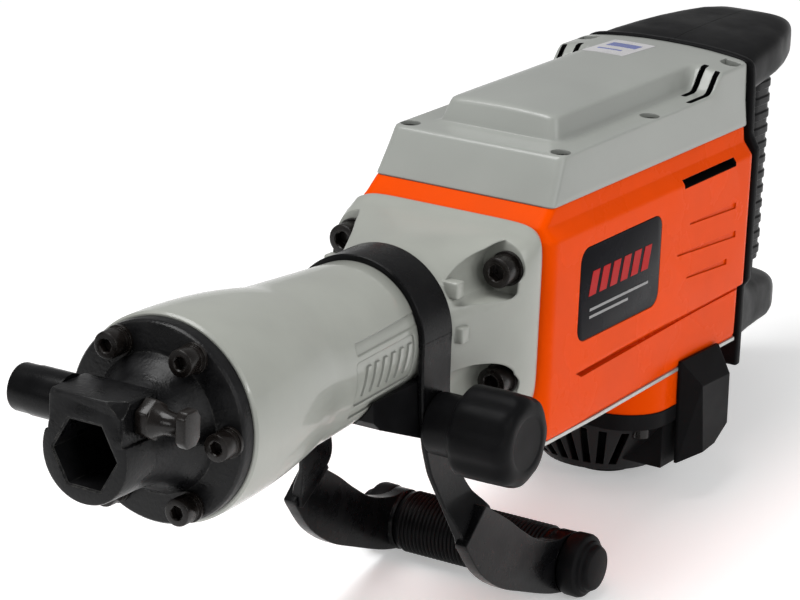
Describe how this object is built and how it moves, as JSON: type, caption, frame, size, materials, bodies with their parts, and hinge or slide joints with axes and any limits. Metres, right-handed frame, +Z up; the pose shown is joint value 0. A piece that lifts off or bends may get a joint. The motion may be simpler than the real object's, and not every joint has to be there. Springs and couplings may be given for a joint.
{
  "type": "electric demolition hammer",
  "caption": "Electric demolition hammer with a hexagonal tool socket, stop lever, turning clamp handle on the neck, crank-driven air hammer and a D-shaped rear handle with a trigger.",
  "frame": {"origin": "centre of the hexagonal tool socket at its mouth, on the hammer axis", "axes": "+Y runs from the nose back along the hammer axis to the rear handle, so the chisel leaves along -Y; +Z is up, away from the motor; +X is the side of the clamp knob and of the stop lever's head"},
  "size_m": [0.1646, 0.66, 0.2601],
  "materials": {
    "black_oxide_steel": "phosphated, semi-gloss with worn edges",
    "bolt_steel": "black oxide worn to brown, semi-gloss",
    "bright_steel": "ground, oiled",
    "grey_paint": "glossy grey paint over a casting",
    "grey_plastic": "glossy grey moulding",
    "orange_shell": "glossy orange moulding",
    "black_plastic": "satin black moulding",
    "black_paint": "satin black paint",
    "black_rubber": "matte",
    "badge_black": "gloss black panel",
    "red_plastic": "gloss",
    "cast_aluminium": "as cast, bead blasted",
    "copper": "machined copper",
    "winding": "enamelled copper wire and laminations",
    "lamination": "stacked sheet, oiled",
    "carbon": "dull carbon",
    "brass": "stamped, satin"
  },
  "bodies": {
    "housing": {"front_cover": "black_oxide_steel", "nose_bolts": "bolt_steel", "washers": "bolt_steel", "lever_cap": "black_oxide_steel", "lever_spring": "bright_steel", "hex_bushing": "bright_steel", "barrel_case": "grey_paint", "barrel_bolts": "bolt_steel", "cylinder_liner": "bright_steel", "anvil_guide": "bright_steel", "buffer_ring": "black_rubber", "crank_bearings": "bright_steel", "bearing_carrier": "cast_aluminium", "intermediate_pin": "bright_steel", "inner_cover": "cast_aluminium", "motor_bearings": "bright_steel", "stator": "lamination", "brush_holders": "brass", "carbon_brushes": "carbon", "brush_cover_left": "black_plastic", "brush_cover_right": "black_plastic", "body_housing": "orange_shell", "motor_housing": "orange_shell", "motor_ring": "black_plastic", "tail_cover": "black_plastic", "cover_screws": "bolt_steel", "top_cover": "grey_plastic", "handle_left": "black_plastic", "handle_right": "black_plastic", "grip_sleeve": "black_rubber", "switch_body": "black_plastic", "handle_screws": "bolt_steel", "cord_gland": "black_rubber", "side_badges": "badge_black"},
    "lever_slider": {"lever_clip": "bright_steel"},
    "lever": {"stop_lever": "bolt_steel"},
    "crank": {"crankshaft": "bright_steel", "final_gear": "bright_steel"},
    "rod": {"connecting_rod": "cast_aluminium", "wrist_pin": "bright_steel"},
    "piston": {"piston": "cast_aluminium", "piston_o_ring": "black_rubber"},
    "striker": {"striker": "bright_steel", "striker_o_ring": "black_rubber"},
    "anvil": {"impact_bolt": "bright_steel"},
    "intermediate": {"intermediate_gear": "bright_steel"},
    "armature": {"armature_shaft": "bright_steel", "armature_core": "winding", "commutator": "copper", "cooling_fan": "black_plastic"},
    "side_handle": {"clamp_strap": "black_paint", "clamp_saddle": "black_plastic", "clamp_bolt": "bolt_steel", "side_plates": "black_paint", "handle_bar": "bolt_steel", "bar_grip": "black_rubber", "bar_caps": "black_plastic"},
    "knob": {"clamp_knob": "black_plastic"},
    "trigger": {"trigger": "black_plastic"},
    "lock_button": {"lock_button": "red_plastic"}
  },
  "joints": [
    {"name": "stop_lever_pull", "type": "slide", "parent": "housing", "child": "lever_slider", "axis": [1, 0, 0], "range_m": [0, 0.008], "stiffness_N_per_m": 1500, "springref_m": -0.004, "deforming": ["lever_spring"]},
    {"name": "stop_lever_turn", "type": "hinge", "parent": "lever_slider", "child": "lever", "pos_m": [0, 0.017, 0.0175], "axis": [1, 0, 0], "range_deg": [0, 180]},
    {"name": "side_handle_turn", "type": "hinge", "parent": "housing", "child": "side_handle", "pos_m": [0, 0.2368, 0], "axis": [0, 1, 0], "continuous": true},
    {"name": "clamp_knob_turn", "type": "hinge", "parent": "side_handle", "child": "knob", "pos_m": [0.06, 0.2383, -0.042], "axis": [1, 0, 0], "range_deg": [0, 720]},
    {"name": "crank_spin", "type": "hinge", "parent": "housing", "child": "crank", "pos_m": [0, 0.401, -0.01], "axis": [0, 0, 1], "continuous": true},
    {"name": "rod_swing", "type": "hinge", "parent": "crank", "child": "rod", "pos_m": [0, 0.413, 0], "axis": [0, 0, 1], "continuous": true},
    {"name": "intermediate_spin", "type": "hinge", "parent": "housing", "child": "intermediate", "pos_m": [0, 0.449, -0.03], "axis": [0, 0, 1], "continuous": true},
    {"name": "armature_spin", "type": "hinge", "parent": "housing", "child": "armature", "pos_m": [0, 0.488, -0.08], "axis": [0, 0, 1], "continuous": true},
    {"name": "piston_slide", "type": "slide", "parent": "housing", "child": "piston", "axis": [0, 1, 0], "range_m": [-0.024, 0]},
    {"name": "striker_slide", "type": "slide", "parent": "housing", "child": "striker", "axis": [0, 1, 0], "range_m": [-0.02, 0]},
    {"name": "impact_bolt_slide", "type": "slide", "parent": "housing", "child": "anvil", "axis": [0, 1, 0], "range_m": [-0.01, 0]},
    {"name": "trigger_pull", "type": "slide", "parent": "housing", "child": "trigger", "axis": [0, 1, 0], "range_m": [0, 0.006], "stiffness_N_per_m": 1200, "springref_m": -0.006},
    {"name": "lock_button_push", "type": "slide", "parent": "housing", "child": "lock_button", "axis": [1, 0, 0], "range_m": [0, 0.003], "stiffness_N_per_m": 800, "springref_m": -0.003}
  ],
  "couplings": [
    {"joint": "intermediate_spin", "follows": "crank_spin", "ratio": -2.6923},
    {"joint": "armature_spin", "follows": "crank_spin", "ratio": 8.9744},
    {"joint": "rod_swing", "follows": "crank_spin", "ratio": -1}
  ]
}
